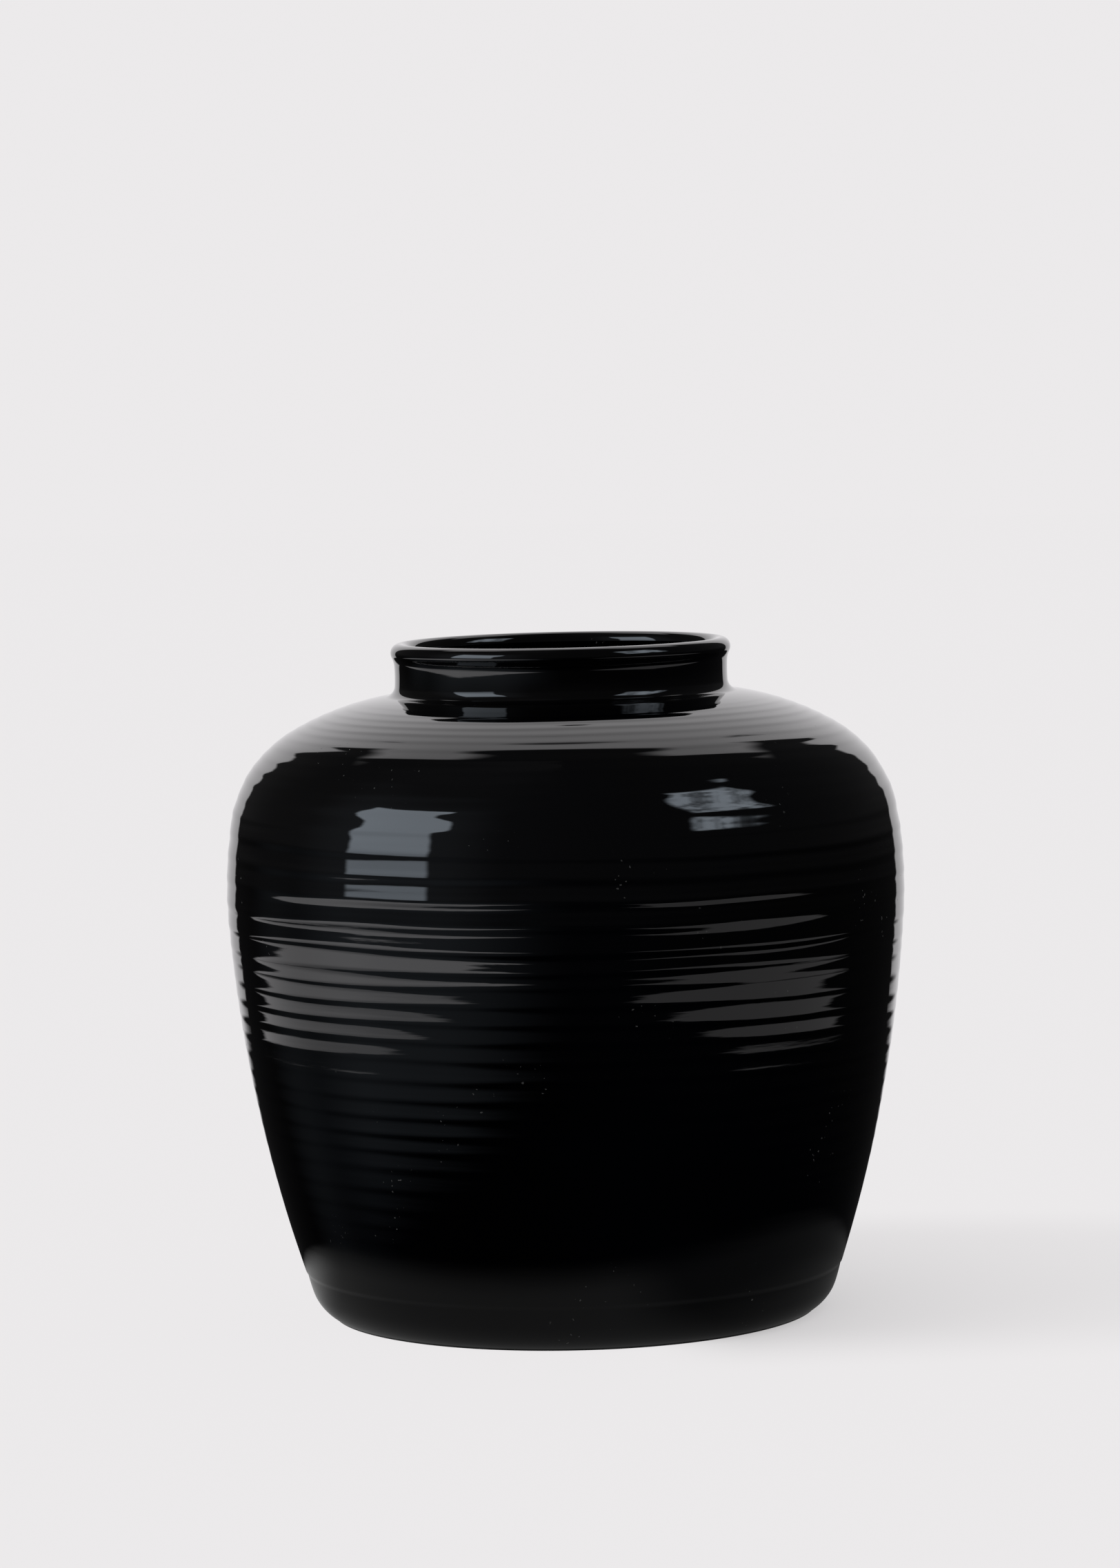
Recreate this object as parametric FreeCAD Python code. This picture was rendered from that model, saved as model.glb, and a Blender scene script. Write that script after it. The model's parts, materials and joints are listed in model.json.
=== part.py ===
import FreeCAD, Part
import math
import os

# A round stoneware jar, thrown in sections that are luted together with slip,
# then glazed black inside and out. Millimetres, +Z up, origin on the table
# under the middle of the foot. Everything is turned about the Z axis.
#
# Outlines are followed as stretches of circle that meet tangent to each other.
# A stretch is held as its centre, a signed radius (plus where it bulges out of
# the clay, minus where it is hollowed in) and the direction that the surface
# faces at its two ends, in degrees above the +X direction.

# --- driving dimensions -------------------------------------------------------
BELLY_RADIUS = 150.0
BELLY_HEIGHT = 190.0

# Outside, from the belly up to the underside of the lip: (radius, facing at end)
ABOVE_BELLY = [
    (191.5, 9.5),
    (54.7, 59.8),
    (122.4, 81.3),
    (-5.0, 3.0),
    (-82.0, -3.0),
    (-10.0, -27.0),
]
# Outside, from the belly down to the turned ledge: (radius, facing at end)
BELOW_BELLY = [(216.0, -4.1), (648.0, -17.93)]
LIP_ROLL_RADIUS = 4.2

LEDGE_STEP = 0.7
LEDGE_DROP = 0.9
# The turned band under the ledge, and the round that turns it in to the table
BAND_FACING = -12.8
BAND_RADIUS = 89.4
FOOT_ROUND_FACING = -18.5
FOOT_ROUND_RADIUS = 19.0

GLAZE = 0.6
GLAZE_BARE_HEIGHT = 1.3
WALL = 7.0
FLOOR_TOP = 15.0
COVE_RADIUS = 22.0
THROAT_FILLET = 10.0

FOOT_RING_HEIGHT = 5.0
FOOT_RING_INNER_RADIUS = 86.0
FOOT_RING_TAPER = 1.5
FOOT_RING_EDGE = 1.2

SLIP = 0.8
# The luted joints in the wall, bottom to top: (name, height, depth of the V cut in the rims)
WALL_JOINTS = [
    ("base", 30.0, 2.6),
    ("belly", 138.0, 2.6),
    ("shoulder", 214.0, 2.6),
    ("dome", 255.5, 2.0),
    ("neck", 276.5, 2.0),
    ("lip", 289.6, 1.4),
]
# The clay above each of those joints
WALL_SECTIONS = [
    "lower_wall",
    "belly_wall",
    "shoulder_ring",
    "shoulder_dome",
    "neck_collar",
    "rolled_lip",
]
V_HALF_WIDTH = 2.2
# Bevelled edge of the floor disc, under the cove
FLOOR_DISC_RADIUS = 94.0
FLOOR_DISC_BEVEL = 3.0

REACH = 400.0


# --- outline helpers ----------------------------------------------------------
def facing(angle):
    """Unit vector of a surface direction, in the half plane x, z."""
    turn = math.radians(angle)
    return FreeCAD.Vector(math.cos(turn), 0, math.sin(turn))


class Stretch:
    """A stretch of circle in an outline, which can be set back into the clay."""

    def __init__(self, centre, radius, start, end):
        self.centre = centre
        self.radius = radius
        self.start = start
        self.end = end

    def point(self, angle, depth=0.0):
        return self.centre + facing(angle) * (self.radius - depth)

    def edge(self, depth=0.0):
        middle = (self.start + self.end) / 2
        angles = (self.start, middle, self.end)
        return Part.Arc(*[self.point(angle, depth) for angle in angles]).toShape()


def tangent_stretches(first_point, start, turns):
    """Stretches that follow each other tangent, from (radius, facing at end)."""
    stretches = []
    point = first_point
    for radius, end in turns:
        centre = point - facing(start) * radius
        stretch = Stretch(centre, radius, start, end)
        stretches.append(stretch)
        point = stretch.point(end)
        start = end
    return stretches


def line(a, b):
    return Part.makeLine(a, b)


def at(radius, height):
    return FreeCAD.Vector(radius, 0, height)


# --- outside of the jar, bottom to top ------------------------------------------
belly = at(BELLY_RADIUS, BELLY_HEIGHT)
upper = tangent_stretches(belly, 0.0, ABOVE_BELLY)
lower = tangent_stretches(belly, 0.0, BELOW_BELLY)

lip_start = upper[-1].end
lip = tangent_stretches(upper[-1].point(lip_start), lip_start, [(LIP_ROLL_RADIUS, 180.0)])[0]
HEIGHT = lip.point(90.0).z

ledge_top = lower[-1].point(lower[-1].end)
ledge_foot = ledge_top - at(LEDGE_STEP, LEDGE_DROP)
band = tangent_stretches(ledge_foot, BAND_FACING, [(BAND_RADIUS, FOOT_ROUND_FACING)])[0]
round_start = band.point(FOOT_ROUND_FACING)
round_centre = round_start - facing(FOOT_ROUND_FACING) * FOOT_ROUND_RADIUS


def foot_round(low, depth):
    """The round at the foot, set back by a depth, from a low height up to the band."""
    low_facing = -math.degrees(math.asin((round_centre.z - low) / (FOOT_ROUND_RADIUS - depth)))
    return Stretch(round_centre, FOOT_ROUND_RADIUS, low_facing, FOOT_ROUND_FACING)


def outside_edges(depth, low):
    """The outside, set back by a depth, from a low height to the lip's inner side."""
    edges = [foot_round(low, depth).edge(depth), band.edge(depth)]
    edges.append(line(band.point(band.start, depth), lower[-1].point(lower[-1].end, depth)))
    for stretch in reversed(lower):
        edges.append(stretch.edge(depth))
    for stretch in upper:
        edges.append(stretch.edge(depth))
    edges.append(lip.edge(depth))
    return edges


# --- inside of the jar, top to bottom -------------------------------------------
throat_radius = lip.point(180.0).x
shoulder = upper[2]

# Fillet where the straight throat turns out under the shoulder
throat_x = throat_radius + THROAT_FILLET
throat_reach = shoulder.radius - WALL + THROAT_FILLET
throat_z = shoulder.centre.z + math.sqrt(throat_reach ** 2 - (throat_x - shoulder.centre.x) ** 2)
throat_angle = math.degrees(math.atan2(throat_z - shoulder.centre.z, throat_x - shoulder.centre.x))
throat = Stretch(at(throat_x, throat_z), THROAT_FILLET, 180.0, 180.0 + throat_angle)

# Cove where the lower wall turns in to the floor
wall_arc = lower[-1]
cove_z = FLOOR_TOP + COVE_RADIUS
cove_reach = wall_arc.radius - WALL - COVE_RADIUS
cove_x = wall_arc.centre.x + math.sqrt(cove_reach ** 2 - (cove_z - wall_arc.centre.z) ** 2)
cove_angle = math.degrees(math.atan2(cove_z - wall_arc.centre.z, cove_x - wall_arc.centre.x))
cove = Stretch(at(cove_x, cove_z), -COVE_RADIUS, 180.0 + cove_angle, 90.0)


def inner_face_of(stretch, start, end):
    """The inside of the wall behind an outside stretch, facing the hollow."""
    return Stretch(stretch.centre, WALL - stretch.radius, 180.0 + start, 180.0 + end)


def inside_stretches():
    stretches = [throat]
    stretches.append(inner_face_of(shoulder, throat_angle, shoulder.start))
    for stretch in reversed(upper[:2]):
        stretches.append(inner_face_of(stretch, stretch.end, stretch.start))
    stretches.append(inner_face_of(lower[0], lower[0].start, lower[0].end))
    stretches.append(inner_face_of(wall_arc, wall_arc.start, cove_angle))
    stretches.append(cove)
    return stretches


def inside_edges(depth):
    """The inside, set back by a depth, from the lip's inner side to the axis."""
    edges = [line(lip.point(180.0, depth), throat.point(180.0, depth))]
    for stretch in inside_stretches():
        edges.append(stretch.edge(depth))
    edges.append(line(cove.point(90.0, depth), at(0, FLOOR_TOP - depth)))
    return edges


# --- faces in the half plane, and turning them ----------------------------------
def face_of(edges):
    return Part.Face(Part.Wire(edges))


def polygon(points):
    return Part.Face(Part.makePolygon(points + [points[0]]))


def turned(face):
    """The solid that a face sweeps in one full turn about the axis."""
    return face.revolve(FreeCAD.Vector(0, 0, 0), FreeCAD.Vector(0, 0, 1), 360)


def skin(outer, inner):
    """Face between two runs of edges that go the same way, closed at both ends."""
    first = line(outer[0].firstVertex(True).Point, inner[0].firstVertex(True).Point)
    last = line(outer[-1].lastVertex(True).Point, inner[-1].lastVertex(True).Point)
    return face_of(outer + [last] + list(reversed(inner)) + [first])


def clay_face():
    """Whole clay body under both glazes, with the recess inside the foot ring."""
    foot_arc = foot_round(0.0, GLAZE)
    foot_outer = foot_arc.point(foot_arc.start, GLAZE)
    recess_top = FOOT_RING_HEIGHT + SLIP
    ring_low = at(FOOT_RING_INNER_RADIUS + FOOT_RING_TAPER, 0)
    ring_high = at(FOOT_RING_INNER_RADIUS, recess_top)
    edges = outside_edges(GLAZE, 0.0) + inside_edges(GLAZE)
    edges.append(line(at(0, FLOOR_TOP - GLAZE), at(0, recess_top)))
    edges.append(line(at(0, recess_top), ring_high))
    edges.append(line(ring_high, ring_low))
    edges.append(line(ring_low, foot_outer))
    return face_of(edges)


def joint_line(height, middle, v_depth):
    """Line across the wall at a joint, with the V that keys the two rims."""
    return [
        at(0, height),
        at(middle - V_HALF_WIDTH, height),
        at(middle, height + v_depth),
        at(middle + V_HALF_WIDTH, height),
        at(REACH, height),
    ]


def between(low_line, high_line):
    return polygon(low_line + list(reversed(high_line)))


def raised(points, lift):
    return [point + at(0, lift) for point in points]


def wall_middle(height):
    """Middle of the clay wall at a height, halfway between its two faces."""
    across = line(at(0, height), at(REACH, height)).common(clay_face())
    return (across.BoundBox.XMin + across.BoundBox.XMax) / 2


# --- the pieces -----------------------------------------------------------------
def glaze_outside():
    """Glaze from just above the table, over the lip, to the inner side of the lip."""
    return skin(outside_edges(0.0, GLAZE_BARE_HEIGHT), outside_edges(GLAZE, GLAZE_BARE_HEIGHT))


def glaze_inside():
    """Liner glaze from the inner side of the lip down over the floor."""
    return skin(inside_edges(0.0), inside_edges(GLAZE))


def base_pieces(base):
    """The base as a floor disc, the slip round its bevelled edge, and the low wall."""
    disc_edge = [at(FLOOR_DISC_RADIUS, 0), at(FLOOR_DISC_RADIUS + FLOOR_DISC_BEVEL, FLOOR_TOP)]
    wall_edge = [point + at(SLIP, 0) for point in disc_edge]
    axis = [at(0, 0), at(0, FLOOR_TOP)]
    outside = [at(REACH, 0), at(REACH, REACH), at(0, REACH), at(0, FLOOR_TOP)]
    return {
        "floor_disc": base.common(between(axis, disc_edge)),
        "floor_joint_slip": base.common(between(disc_edge, wall_edge)),
        "base_wall": base.common(polygon(wall_edge + outside[::-1])),
    }


def sections_and_slip():
    """The clay sections, and the slip in the joints between them, bottom to top."""
    clay = clay_face()
    foot_top = [at(0, FOOT_RING_HEIGHT), at(REACH, FOOT_RING_HEIGHT)]
    base_low = raised(foot_top, SLIP)
    joints = [
        (name, joint_line(height, wall_middle(height), depth)) for name, height, depth in WALL_JOINTS
    ]
    faces = {
        "foot_ring": clay.common(between([at(0, -1), at(REACH, -1)], foot_top)),
        "foot_joint_slip": clay.common(between(foot_top, base_low)),
    }
    faces.update(base_pieces(clay.common(between(base_low, joints[0][1]))))
    ends = [low_line for name, low_line in joints[1:]] + [[at(0, REACH), at(REACH, REACH)]]
    for (name, low_line), section, end in zip(joints, WALL_SECTIONS, ends):
        high_line = raised(low_line, SLIP)
        faces[name + "_joint_slip"] = clay.common(between(low_line, high_line))
        faces[section] = clay.common(between(high_line, end))
    return faces


def soften_foot(ring):
    """Take the sharp edges off the foot ring's standing face."""
    standing = [edge for edge in ring.Edges if abs(edge.BoundBox.ZMax) < 0.01]
    return ring.makeFillet(FOOT_RING_EDGE, standing).Solids[0]


def build():
    pieces = {name: turned(face.Faces[0]) for name, face in sections_and_slip().items()}
    pieces["foot_ring"] = soften_foot(pieces["foot_ring"])
    pieces["outer_glaze"] = turned(glaze_outside())
    pieces["liner_glaze"] = turned(glaze_inside())
    return pieces


os.makedirs("parts", exist_ok=True)
for name, solid in build().items():
    solid.exportStep(os.path.join("parts", name + ".step"))
    print(name, solid.ShapeType, solid.isValid(), round(solid.Volume / 1000, 2), "cm3")
print("height", round(HEIGHT, 2), "mouth radius", round(throat_radius, 2))
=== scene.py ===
import json
import math

import bpy
from mathutils import Matrix, Vector, kdtree, noise


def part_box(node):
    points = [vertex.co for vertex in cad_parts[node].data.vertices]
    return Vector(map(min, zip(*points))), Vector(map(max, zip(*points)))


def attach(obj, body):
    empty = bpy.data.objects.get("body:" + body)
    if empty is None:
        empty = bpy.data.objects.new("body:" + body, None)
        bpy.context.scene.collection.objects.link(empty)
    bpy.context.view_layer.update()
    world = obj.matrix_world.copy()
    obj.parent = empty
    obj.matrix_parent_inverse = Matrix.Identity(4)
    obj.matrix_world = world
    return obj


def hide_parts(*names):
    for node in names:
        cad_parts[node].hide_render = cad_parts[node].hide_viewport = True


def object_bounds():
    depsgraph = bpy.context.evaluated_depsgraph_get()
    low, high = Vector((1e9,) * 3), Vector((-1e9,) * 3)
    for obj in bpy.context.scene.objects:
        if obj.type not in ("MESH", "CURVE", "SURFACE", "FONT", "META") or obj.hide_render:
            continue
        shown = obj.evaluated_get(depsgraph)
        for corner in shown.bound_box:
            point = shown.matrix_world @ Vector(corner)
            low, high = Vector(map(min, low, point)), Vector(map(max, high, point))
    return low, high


# A wheel-thrown jar under black glaze, on a pale floor. Metres, +Z up, the
# origin on the floor under the middle of the foot. Everything is turned about Z.
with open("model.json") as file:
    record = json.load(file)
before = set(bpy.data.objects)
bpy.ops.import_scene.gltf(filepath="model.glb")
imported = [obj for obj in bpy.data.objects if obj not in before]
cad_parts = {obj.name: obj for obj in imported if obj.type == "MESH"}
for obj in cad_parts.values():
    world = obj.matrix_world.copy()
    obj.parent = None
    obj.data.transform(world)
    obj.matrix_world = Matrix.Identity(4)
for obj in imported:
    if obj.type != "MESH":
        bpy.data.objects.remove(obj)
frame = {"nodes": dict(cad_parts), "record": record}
cad_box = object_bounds()

# --- sizes ----------------------------------------------------------------------
# The outline is followed as stretches of circle that meet tangent to each other:
# (signed radius, the way the surface faces at its end, in degrees above level).
# A minus radius is a hollow.
BELLY_RADIUS = (cad_box[1].x - cad_box[0].x) / 2
BELLY_HEIGHT = 0.190
ABOVE_BELLY = [
    (0.1915, 9.5),
    (0.0547, 59.8),
    (0.1224, 81.3),
    (-0.005, 3.0),
    (-0.082, -3.0),
    (-0.010, -27.0),
]
BELOW_BELLY = [(0.216, -4.1), (0.648, -17.93)]
LIP_ROLL_RADIUS = 0.0042
LEDGE_STEP = 0.0007
LEDGE_DROP = 0.0009
BAND_FACING = -12.8
BAND_RADIUS = 0.0894
FOOT_ROUND_FACING = -18.5
FOOT_ROUND_RADIUS = 0.019
WALL = 0.007
GLAZE = 0.0006
FLOOR_TOP = 0.015
COVE_RADIUS = 0.022
THROAT_FILLET = 0.010
GLAZE_BARE_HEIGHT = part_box("outer_glaze")[0].z
# No step of an outline turns by more than this, in degrees.
MOST_TURN = 5.0


# --- outlines -------------------------------------------------------------------
def facing(angle):
    turn = math.radians(angle)
    return Vector((math.cos(turn), 0, math.sin(turn)))


class Stretch:
    """A stretch of circle in an outline."""

    def __init__(self, centre, radius, start, end):
        self.centre = centre
        self.radius = radius
        self.start = start
        self.end = end

    def point(self, angle, depth=0.0):
        return self.centre + facing(angle) * (self.radius - depth)

    def points(self, spacing, depth=0.0):
        """Points along the stretch from its start, up to but not with its end."""
        turn = self.end - self.start
        length = abs(math.radians(turn) * (self.radius - depth))
        steps = max(1, round(length / spacing), math.ceil(abs(turn) / MOST_TURN))
        return [self.point(self.start + turn * i / steps, depth) for i in range(steps)]

    def reversed(self):
        return Stretch(self.centre, self.radius, self.end, self.start)


def tangent_stretches(point, start, turns):
    stretches = []
    for radius, end in turns:
        stretch = Stretch(point - facing(start) * radius, radius, start, end)
        stretches.append(stretch)
        point = stretch.point(end)
        start = end
    return stretches


belly = Vector((BELLY_RADIUS, 0, BELLY_HEIGHT))
upper = tangent_stretches(belly, 0.0, ABOVE_BELLY)
lower = tangent_stretches(belly, 0.0, BELOW_BELLY)
neck_top = upper[-1]
lip = tangent_stretches(neck_top.point(neck_top.end), neck_top.end, [(LIP_ROLL_RADIUS, 180.0)])[0]

ledge_top = lower[-1].point(lower[-1].end)
ledge_foot = ledge_top - Vector((LEDGE_STEP, 0, LEDGE_DROP))
band = tangent_stretches(ledge_foot, BAND_FACING, [(BAND_RADIUS, FOOT_ROUND_FACING)])[0]
round_centre = band.point(FOOT_ROUND_FACING) - facing(FOOT_ROUND_FACING) * FOOT_ROUND_RADIUS


def foot_round(low, depth=0.0):
    """The round at the foot from a low height up to the turned band."""
    low_facing = -math.degrees(math.asin((round_centre.z - low) / (FOOT_ROUND_RADIUS - depth)))
    return Stretch(round_centre, FOOT_ROUND_RADIUS, low_facing, FOOT_ROUND_FACING)


def outside_points(spacing, depth, low):
    """The outside from a low height to the inner side of the lip."""
    points = foot_round(low, depth).points(spacing, depth) + band.reversed().points(spacing, depth)
    points += [band.point(BAND_FACING, depth)]
    for stretch in [s.reversed() for s in reversed(lower)] + upper + [lip]:
        points += stretch.points(spacing, depth)
    return points + [lip.point(180.0, depth)]


shoulder = upper[2]
wall_arc = lower[-1]
throat_x = lip.point(180.0).x + THROAT_FILLET
throat_reach = shoulder.radius - WALL + THROAT_FILLET
throat_z = shoulder.centre.z + math.sqrt(throat_reach ** 2 - (throat_x - shoulder.centre.x) ** 2)
throat_angle = math.degrees(math.atan2(throat_z - shoulder.centre.z, throat_x - shoulder.centre.x))
cove_z = FLOOR_TOP + COVE_RADIUS
cove_reach = wall_arc.radius - WALL - COVE_RADIUS
cove_x = wall_arc.centre.x + math.sqrt(cove_reach ** 2 - (cove_z - wall_arc.centre.z) ** 2)
cove_angle = math.degrees(math.atan2(cove_z - wall_arc.centre.z, cove_x - wall_arc.centre.x))


def inner_face_of(stretch, start, end):
    return Stretch(stretch.centre, WALL - stretch.radius, 180.0 + start, 180.0 + end)


def inside_points(spacing, depth):
    """The inside from the lip's inner side down the throat and over to the axis."""
    throat = Stretch(Vector((throat_x, 0, throat_z)), THROAT_FILLET, 180.0, 180.0 + throat_angle)
    cove = Stretch(Vector((cove_x, 0, cove_z)), -COVE_RADIUS, 180.0 + cove_angle, 90.0)
    runs = [
        throat,
        inner_face_of(shoulder, throat_angle, shoulder.start),
        inner_face_of(upper[1], upper[1].end, upper[1].start),
        inner_face_of(upper[0], upper[0].end, upper[0].start),
        inner_face_of(lower[0], lower[0].start, lower[0].end),
        inner_face_of(wall_arc, wall_arc.start, cove_angle),
        cove,
    ]
    points = straight_points(lip.point(180.0, depth), throat.point(180.0, depth), spacing)
    for run in runs:
        points += run.points(spacing, depth)
    centre = Vector((0, 0, FLOOR_TOP - depth))
    points += straight_points(cove.point(90.0, depth), centre, 4 * spacing)
    return points + [centre]


def straight_points(a, b, spacing):
    steps = max(1, round((b - a).length / spacing))
    return [a.lerp(b, i / steps) for i in range(steps)]


# --- modelling ------------------------------------------------------------------
SEGMENTS = 180
SAME_POINT = 1e-6
ON_OUTLINE = 1e-5
# How far apart an outline's points are: outside, inside, and where a glaze lies on the clay
RING_SPACING = 0.0010
LINER_SPACING = 0.0016
HIDDEN_SPACING = 0.006
# Above this angle a corner is sharp, and below it smooth.
SHARP = math.radians(50)


def lathe(name, outline, closed):
    """A piece turned about the Z axis from an outline, which closes on itself or ends on the axis."""
    bpy.ops.object.select_all(action="DESELECT")
    bpy.ops.mesh.primitive_plane_add(size=0.001, location=(0, 0, 0))
    piece = bpy.context.object
    piece.name = name
    bpy.ops.object.mode_set(mode="EDIT")
    bpy.ops.mesh.merge(type="CENTER")
    bpy.ops.transform.translate(value=outline[0])
    for a, b in zip(outline, outline[1:]):
        bpy.ops.mesh.extrude_region_move(TRANSFORM_OT_translate={"value": b - a})
    if closed:
        bpy.ops.mesh.extrude_region_move(TRANSFORM_OT_translate={"value": outline[0] - outline[-1]})
        bpy.ops.mesh.select_all(action="SELECT")
        bpy.ops.mesh.remove_doubles(threshold=SAME_POINT)
    bpy.ops.mesh.select_all(action="SELECT")
    bpy.ops.mesh.spin(steps=SEGMENTS, angle=math.tau, center=(0, 0, 0), axis=(0, 0, 1))
    bpy.ops.mesh.select_all(action="SELECT")
    bpy.ops.mesh.remove_doubles(threshold=SAME_POINT)
    bpy.ops.mesh.normals_make_consistent(inside=False)
    bpy.ops.object.mode_set(mode="OBJECT")
    bpy.ops.object.shade_smooth_by_angle(angle=SHARP)
    return piece


def press_rings(piece, face, height):
    """Moves a face of a turned piece, given by its outline, in or out.

    The height is a function of the way along the outline, the level and the turn about the axis."""
    rows = kdtree.KDTree(len(face))
    alongs = [0.0]
    for a, b in zip(face, face[1:]):
        alongs.append(alongs[-1] + (b - a).length)
    for index, point in enumerate(face):
        rows.insert(point, index)
    rows.balance()
    moves = []
    for vertex in piece.data.vertices:
        x, y, z = vertex.co
        _, index, distance = rows.find((math.hypot(x, y), 0, z))
        if distance < ON_OUTLINE:
            moves.append((vertex, vertex.normal * height(alongs[index], z, math.atan2(y, x))))
    for vertex, move in moves:
        vertex.co += move
    piece.data.update()


def ramp(value, low, high):
    """0 below low, 1 above high, and smooth between."""
    t = min(max((value - low) / (high - low), 0.0), 1.0)
    return t * t * (3 - 2 * t)


def on_wheel(turn, along, lobes, grain):
    """Noise that closes on itself round the jar: so many lobes round it, so long up it."""
    return noise.noise(Vector((lobes * math.cos(turn), lobes * math.sin(turn), along / grain)))


def finger_rings(along, turn, pitch):
    """The spiral that a finger leaves in the turning clay, one pitch a turn, never quite even."""
    drift = 0.30 * on_wheel(turn, along, 0.7, 0.030) + 0.10 * on_wheel(turn, along + 7, 2.2, 0.012)
    phase = math.tau * (along / pitch + turn / math.tau + drift)
    press = 1.0 + 0.7 * on_wheel(turn, along + 3, 0.8, 0.016)
    return press * (math.cos(phase) + 0.30 * math.cos(2 * phase + 1.2))


# Rings: how far apart they are, how far proud they stand, and the heights between
# which they come in and between which they go out
LOW_RINGS = (0.0083, 0.000050, (0.030, 0.100), (0.158, 0.172))
HIGH_RINGS = (0.0096, 0.000115, (0.158, 0.172), (0.226, 0.244))
TOP_RINGS = (0.0062, 0.000048, (0.226, 0.244), (0.270, 0.2738))
SWELL = (0.0230, 0.000110, (0.200, 0.214), (0.248, 0.262))
INSIDE_RINGS = (0.0110, 0.00018, (0.020, 0.034), (0.252, 0.268))
BODY = ((0.004, 0.02), (0.270, 0.2738))
LUMPS = 0.000040
UNEVEN = 0.00010


def within(level, come_in, go_out):
    return ramp(level, *come_in) * (1 - ramp(level, *go_out))


def ring_height(rings, along, level, turn):
    pitch, proud, come_in, go_out = rings
    return proud * within(level, come_in, go_out) * finger_rings(along, turn, pitch)


def outside_rings(along, level, turn):
    height = ring_height(LOW_RINGS, along, level, turn)
    height += ring_height(HIGH_RINGS, along, level, turn + 1.0)
    height += ring_height(TOP_RINGS, along, level, turn + 2.0)
    height += ring_height(SWELL, along, level, turn + 4.0)
    lumps = LUMPS * on_wheel(turn, along + 9, 3.0, 0.012)
    uneven = UNEVEN * on_wheel(turn, along, 0.9, 0.05)
    return height + within(level, *BODY) * (lumps + uneven)


def inside_rings(along, level, turn):
    return ring_height(INSIDE_RINGS, along, level, turn + 3.0)


# --- the glaze ------------------------------------------------------------------
outer_face = outside_points(RING_SPACING, 0.0, GLAZE_BARE_HEIGHT)
outer_back = outside_points(HIDDEN_SPACING, GLAZE, GLAZE_BARE_HEIGHT)

# The glaze gathers in a bead along its lower edge.
BEAD_STEPS = 6
half = (outer_face[0] - outer_back[0]) / 2
down = Vector((half.z, 0, -half.x))
bead = []
for step in range(BEAD_STEPS - 1, 0, -1):
    turn = math.pi * step / BEAD_STEPS
    bead.append(outer_back[0] + half + half * math.cos(turn) + down * math.sin(turn))
outer_glaze = lathe("outer_glaze_thrown", outer_face + outer_back[::-1] + bead, True)
press_rings(outer_glaze, outer_face, outside_rings)

liner_face = inside_points(LINER_SPACING, 0.0)
liner_back = inside_points(HIDDEN_SPACING, GLAZE)
liner = lathe("liner_glaze_thrown", liner_back[::-1] + liner_face, False)
press_rings(liner, liner_face, inside_rings)


# --- finishes -------------------------------------------------------------------
class Socket:
    """A socket of a node tree. Arithmetic on it adds Math nodes."""

    def __init__(self, tree, socket):
        self.tree = tree
        self.socket = socket

    def math(self, operation, *others):
        sockets = dict(enumerate((self,) + others))
        return self.tree.add("ShaderNodeMath", {"operation": operation}, sockets)

    def reflected(self, operation, other):
        return self.tree.add("ShaderNodeMath", {"operation": operation}, {0: other, 1: self})

    def __add__(self, other):
        return self.math("ADD", other)

    __radd__ = __add__

    def __sub__(self, other):
        return self.math("SUBTRACT", other)

    def __rsub__(self, other):
        return self.reflected("SUBTRACT", other)

    def __mul__(self, other):
        return self.math("MULTIPLY", other)

    __rmul__ = __mul__

    def __truediv__(self, other):
        return self.math("DIVIDE", other)

    def __rtruediv__(self, other):
        return self.reflected("DIVIDE", other)

    def __pow__(self, other):
        return self.math("POWER", other)

    def __abs__(self):
        return self.math("ABSOLUTE")

    def ramp(self, low, high):
        """0 at low, 1 at high and smooth between; low may be the greater."""
        settings = {"interpolation_type": "SMOOTHSTEP"}
        sockets = {0: self, 1: min(low, high), 2: max(low, high), 3: 0.0, 4: 1.0}
        if low > high:
            sockets.update({3: 1.0, 4: 0.0})
        return self.tree.add("ShaderNodeMapRange", settings, sockets)

    def between(self, low, high, soft):
        return self.ramp(low - soft, low + soft) * self.ramp(high + soft, high - soft)


class Nodes:
    """A material's or a world's node tree."""

    def __init__(self, owner):
        owner.use_nodes = True
        self.tree = owner.node_tree
        self.tree.nodes.clear()

    def add(self, kind, settings=None, sockets=None, output=0):
        node = self.tree.nodes.new(kind)
        for name, value in (settings or {}).items():
            setattr(node, name, value)
        for name, value in (sockets or {}).items():
            if isinstance(value, Socket):
                self.tree.links.new(value.socket, node.inputs[name])
            else:
                node.inputs[name].default_value = value
        return Socket(self, node.outputs[output]) if node.outputs else None

    def noise(self, place, scale, detail=2.0):
        return self.add("ShaderNodeTexNoise", None, {"Vector": place, "Scale": scale, "Detail": detail})

    def stretched(self, place, scale):
        return self.add("ShaderNodeMapping", None, {"Vector": place, "Scale": scale})

    def tint(self, factor, first, second):
        return self.add("ShaderNodeMix", {"data_type": "RGBA"}, {0: factor, 6: first, 7: second}, 2)

    def bump(self, height, distance, strength):
        sockets = {"Height": height, "Distance": distance, "Strength": strength}
        return self.add("ShaderNodeBump", None, sockets)

    def place(self):
        return self.add("ShaderNodeTexCoord", output="Object")

    def parts(self, vector):
        """The x, y and z of a vector."""
        x = self.add("ShaderNodeSeparateXYZ", None, {0: vector})
        return [x] + [Socket(self, x.socket.node.outputs[i]) for i in (1, 2)]

    def finish(self, **sockets):
        shader = self.add("ShaderNodeBsdfPrincipled", None, sockets)
        self.add("ShaderNodeOutputMaterial", None, {"Surface": shader})


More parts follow.
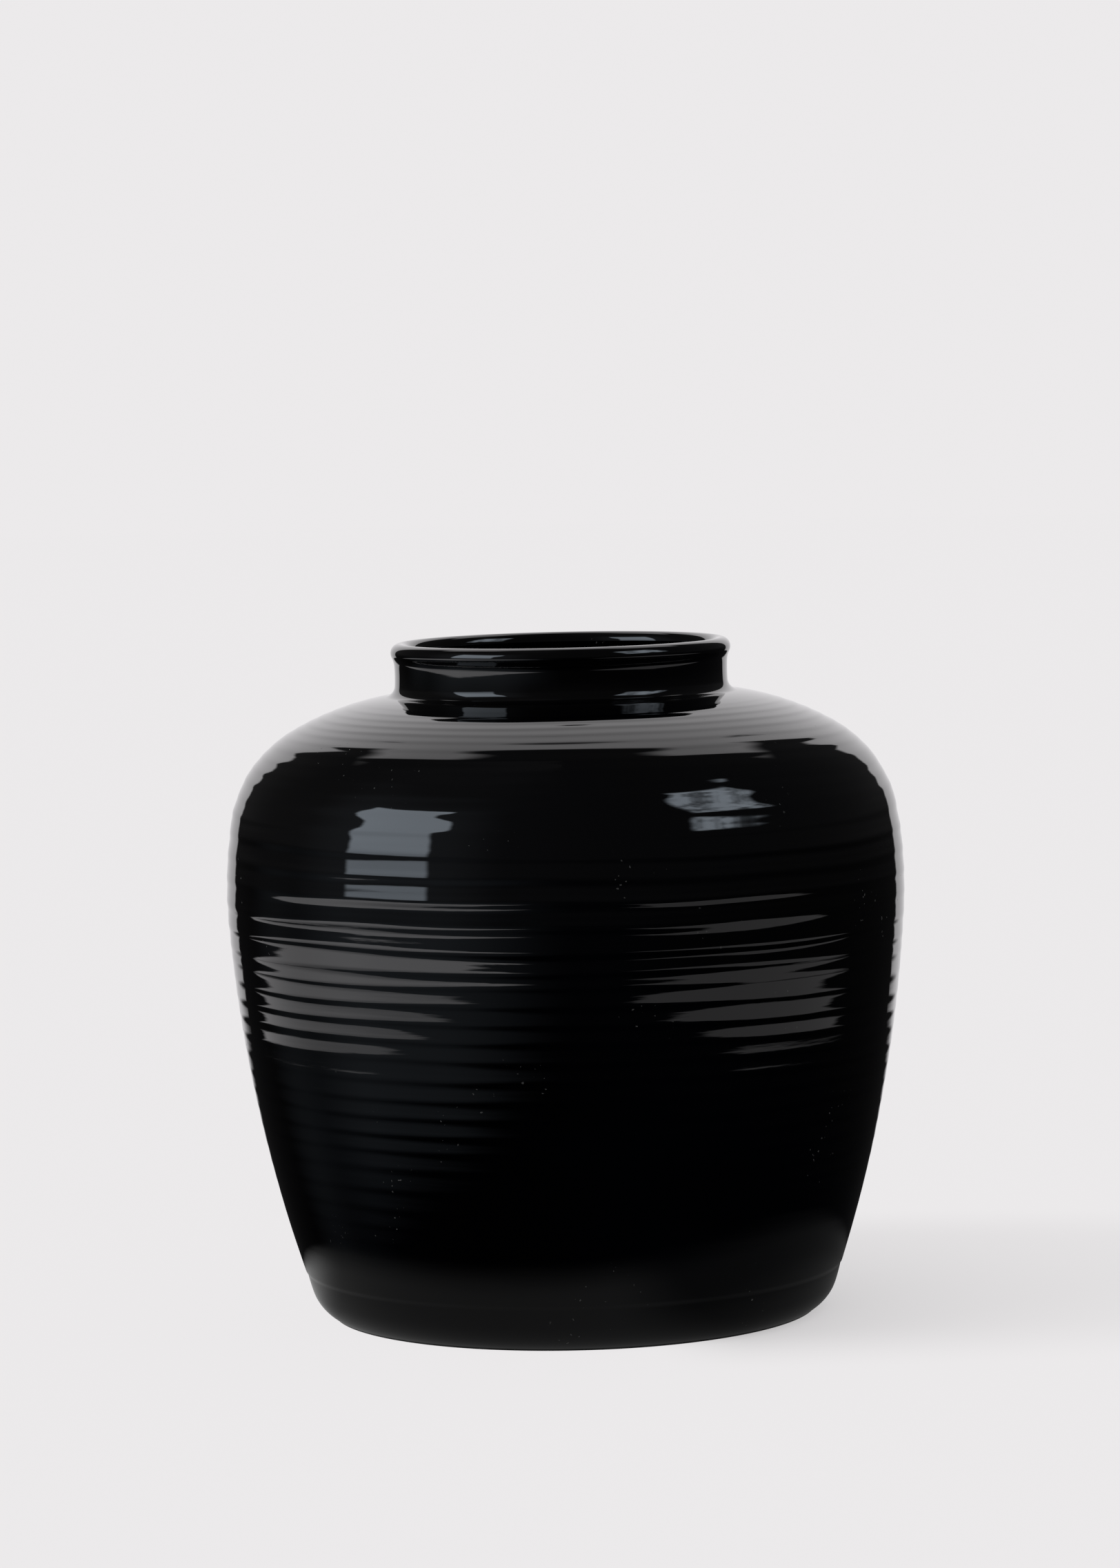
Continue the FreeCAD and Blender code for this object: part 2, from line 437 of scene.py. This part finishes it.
def black_glaze():
    material = bpy.data.materials.new("black_glaze")
    nodes = Nodes(material)
    place = nodes.place()
    clouds = nodes.noise(place, 9.0)
    colour = nodes.tint(clouds.ramp(0.35, 0.7), (0.0001, 0.0001, 0.0002, 1), (0.0002, 0.0003, 0.0006, 1))
    rare = nodes.noise(place, 30.0, 0.0).ramp(0.64, 0.70)
    dust = nodes.noise(place, 700.0, 0.0).ramp(0.80, 0.84) * rare
    colour = nodes.tint(dust, colour, (0.03, 0.03, 0.03, 1))
    sheen = nodes.noise(place, 24.0)
    roughness = sheen * 0.02 + 0.02 + dust * 0.3
    combed = nodes.noise(nodes.stretched(place, (1.0, 1.0, 9.0)), 26.0, 3.0)
    ripple = nodes.bump(combed, 0.0002, 0.10)
    nodes.finish(**{"Base Color": colour, "Roughness": roughness, "Normal": ripple, "IOR": 1.5})
    return material


def fired_clay():
    material = bpy.data.materials.new("fired_clay")
    nodes = Nodes(material)
    place = nodes.place()
    body = nodes.noise(place, 60.0, 4.0)
    colour = nodes.tint(body.ramp(0.3, 0.7), (0.060, 0.047, 0.038, 1), (0.105, 0.085, 0.068, 1))
    grog = nodes.noise(place, 900.0, 1.0).ramp(0.66, 0.72)
    colour = nodes.tint(grog, colour, (0.26, 0.22, 0.18, 1))
    tooth = nodes.noise(place, 1400.0, 2.0)
    nodes.finish(**{
        "Base Color": colour,
        "Roughness": body * 0.15 + 0.75,
        "Normal": nodes.bump(tooth + grog, 0.0002, 0.6),
    })
    return material


def joint_slip():
    material = bpy.data.materials.new("joint_slip")
    nodes = Nodes(material)
    place = nodes.place()
    smear = nodes.noise(nodes.stretched(place, (1.0, 1.0, 6.0)), 120.0, 3.0)
    colour = nodes.tint(smear.ramp(0.3, 0.7), (0.13, 0.105, 0.085, 1), (0.19, 0.16, 0.13, 1))
    nodes.finish(**{
        "Base Color": colour,
        "Roughness": smear * 0.1 + 0.8,
        "Normal": nodes.bump(smear, 0.0003, 0.4),
    })
    return material


finishes = {"black_glaze": black_glaze(), "fired_clay": fired_clay(), "joint_slip": joint_slip()}
for subpart in frame["record"]["subparts"]:
    mesh = frame["nodes"][subpart["node"]].data
    mesh.materials.clear()
    mesh.materials.append(finishes[subpart["material_slot"]])


def placed(piece, node, finish):
    piece.data.materials.append(finishes[finish])
    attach(piece, "root")
    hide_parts(node)


placed(outer_glaze, "outer_glaze", "black_glaze")
placed(liner, "liner_glaze", "black_glaze")

# --- the floor and the studio -----------------------------------------------------
PALE = (0.837, 0.821, 0.829, 1)
DAYLIGHT = 0.92
FLOOR_RADIUS = 12.0
# How much of the floor's tone is its own light, out of the shadow
FLOOR_GLOW = 0.97

bpy.ops.object.select_all(action="DESELECT")
bpy.ops.mesh.primitive_circle_add(vertices=96, radius=FLOOR_RADIUS, fill_type="NGON")
floor = bpy.context.object
floor.name = "floor"

floor_finish = bpy.data.materials.new("floor")
nodes = Nodes(floor_finish)
x, y = nodes.parts(nodes.place())[:2]
paper = nodes.add("ShaderNodeBsdfDiffuse", None, {"Color": PALE})
glow = nodes.add("ShaderNodeEmission", None, {"Color": PALE})
# The shadow is an oval to the right of the jar.
spread = ((x - 0.10) / 0.42) ** 2.0 + ((y - 0.05) / 0.20) ** 2.0
shadow = spread.ramp(1.1, 0.3) * x.ramp(0.03, 0.08)
cover = nodes.add("ShaderNodeMixShader", None, {0: FLOOR_GLOW - shadow * 0.40, 1: paper, 2: glow})
# To glossy rays the floor close round the jar is a painted glow for the glaze to mirror: painted light
# near the jar and from the left, painted shade to the right, and past it the studio.
off_centre = ((x * 0.86 - 0.012) ** 2.0 + y ** 2.0) ** 0.5
painted_light_near = off_centre.ramp(0.135, 0.105) * 0.03
painted_light_from_left = x.ramp(-0.07, -0.12) * y.ramp(-0.04, 0.03) * 0.20
shade = x.ramp(0.02, 0.08) * 0.105
# An emission painted with this light and shade of the table, seen only in the glaze's reflections.
painted_table_glow = nodes.add("ShaderNodeEmission", None, {"Strength": painted_light_near + 0.155 + painted_light_from_left - shade})
past = nodes.add("ShaderNodeBsdfTransparent")
beyond = off_centre.ramp(0.145, 0.175)
mirrored = nodes.add("ShaderNodeMixShader", None, {0: beyond, 1: painted_table_glow, 2: past})
is_glossy = nodes.add("ShaderNodeLightPath", output="Is Glossy Ray")
surface = nodes.add("ShaderNodeMixShader", None, {0: is_glossy, 1: cover, 2: mirrored})
nodes.add("ShaderNodeOutputMaterial", None, {"Surface": surface})
floor.data.materials.append(floor_finish)

bpy.ops.object.light_add(type="AREA", location=(-1.4, -0.9, 1.5))
key = bpy.context.object
key.name = "key_light"
key.data.shape = "DISK"
key.data.size = 1.0
key.data.energy = 6.0
key.rotation_euler = (-key.location).to_track_quat("-Z", "Y").to_euler()
key.visible_glossy = False
key.visible_camera = False

world = bpy.data.worlds.new("studio")
bpy.context.scene.world = world
bpy.context.scene.view_settings.view_transform = "Standard"


# How sharply a lens-shaped patch of light narrows to its ends: 1 is straight, 2 is round.
LENS_POINT = 1.35


def lens(side, rise, centre, reach):
    """1 in a patch of the studio that narrows to a point at its left and right ends."""
    tall = (1.0 - (abs(side - centre[0]) / reach[0]) ** LENS_POINT) * reach[1]
    return (abs(rise - centre[1]) - tall).ramp(0.5, -0.5)


def studio():
    """Pale all round to the eye, and to the glaze a dark room with soft lights and a pale backdrop.

    side is the way round from the front, in degrees, plus to the right, and rise is above level."""
    nodes = Nodes(world)
    way = nodes.add("ShaderNodeTexCoord", output="Generated")
    x, y, z = nodes.parts(way)
    degrees = 180 / math.pi
    side = x.math("ARCTAN2", 0.0 - y) * degrees
    rise = z.math("ARCSINE") * degrees
    wide = abs(side)

    folds = nodes.noise(way, 7.0, 3.0)
    left = side.ramp(20.0, -60.0) * side.ramp(-130.0, -90.0)
    room = rise.ramp(-6.0, 8.0) * (0.03 + 0.03 * left) + rise.ramp(-30.0, -8.0) * 0.012 + 0.001
    glow = side.between(-92.0, -32.0, 14.0) * rise.between(-2.0, 44.0, 12.0) * 0.09
    wall = (rise - side * 0.27 + 18.4).ramp(-5.0, 5.0) * side.ramp(5.0, -50.0) * rise.ramp(4.0, -8.0)
    wall = wall * (rise.ramp(-32.0, -18.0) * 0.11 + rise.ramp(-34.0, -26.0) * 0.06)
    wall = wall * (side.ramp(-105.0, -75.0) * 0.7 + 0.3) * side.ramp(-135.0, -112.0)
    left_box = side.ramp(-80.2, -77.8) * (side + rise.ramp(31.0, 17.0) * 4.5).ramp(-41.8, -44.2)
    left_box = left_box * rise.between(3.0, 37.0, 1.2) * (rise.ramp(2.0, 18.0) * 0.35 + 0.65)
    right_box = side.between(47.0, 81.0, 2.0) * rise.between(22.0, 50.0, 2.0)
    right_box = right_box * (folds.ramp(0.36, 0.60) * 0.8 + 0.2)
    left_low = lens(side, rise, (-75.0, -11.8), (62.0, 6.2))
    left_low = left_low * (rise.ramp(-17.0, -11.0) * 0.7 + 0.75)
    left_low = left_low * (side.ramp(-115.0, -75.0) * 0.35 + 0.65)
    right_low = lens(side, rise, (66.0, -14.6), (46.0, 4.9))
    backdrop = wide.ramp(150.0, 152.0) * rise.between(-9.2, 63.0, 1.0)
    overhead = wide.ramp(128.0, 134.0) * rise.between(47.0, 66.0, 3.0)
    pale = backdrop.math("MAXIMUM", overhead) * (rise.ramp(-10.0, 30.0) * 0.35 + 0.80)

    cool = (0.86, 0.97, 1.10, 1)
    warm = (1.0, 0.98, 1.0, 1)
    lights = left_box * 3.0 + right_box * 3.3 + wall + glow
    rest = room + left_low + right_low * 0.46 + pale
    cool_light = nodes.add("ShaderNodeBackground", None, {"Color": cool, "Strength": lights})
    warm_light = nodes.add("ShaderNodeBackground", None, {"Color": warm, "Strength": rest})
    mirrored = nodes.add("ShaderNodeAddShader", None, {0: cool_light, 1: warm_light})
    seen = nodes.add("ShaderNodeBackground", None, {"Color": PALE})
    soft = nodes.add("ShaderNodeBackground", None, {"Color": (1, 1, 1, 1), "Strength": DAYLIGHT})
    is_camera = nodes.add("ShaderNodeLightPath", output="Is Camera Ray")
    is_glossy = nodes.add("ShaderNodeLightPath", output="Is Glossy Ray")
    unseen = nodes.add("ShaderNodeMixShader", None, {0: is_glossy, 1: soft, 2: mirrored})
    light = nodes.add("ShaderNodeMixShader", None, {0: is_camera, 1: unseen, 2: seen})
    nodes.add("ShaderNodeOutputWorld", None, {"Surface": light})


studio()

# --- the camera -------------------------------------------------------------------
bpy.ops.object.camera_add()
camera = bpy.context.object
camera.name = "camera"
camera.data.lens = 120.505
camera.data.sensor_width = 36.0
YAW = math.radians(0.0375)
TILT = math.radians(90 - 4.499)
ROLL = math.radians(-1.3)
camera.matrix_world = (
    Matrix.Translation((0.0, -2.31745, 0.41682))
    @ Matrix.Rotation(YAW, 4, "Z")
    @ Matrix.Rotation(TILT, 4, "X")
    @ Matrix.Rotation(ROLL, 4, "Z")
)
bpy.context.scene.camera = camera
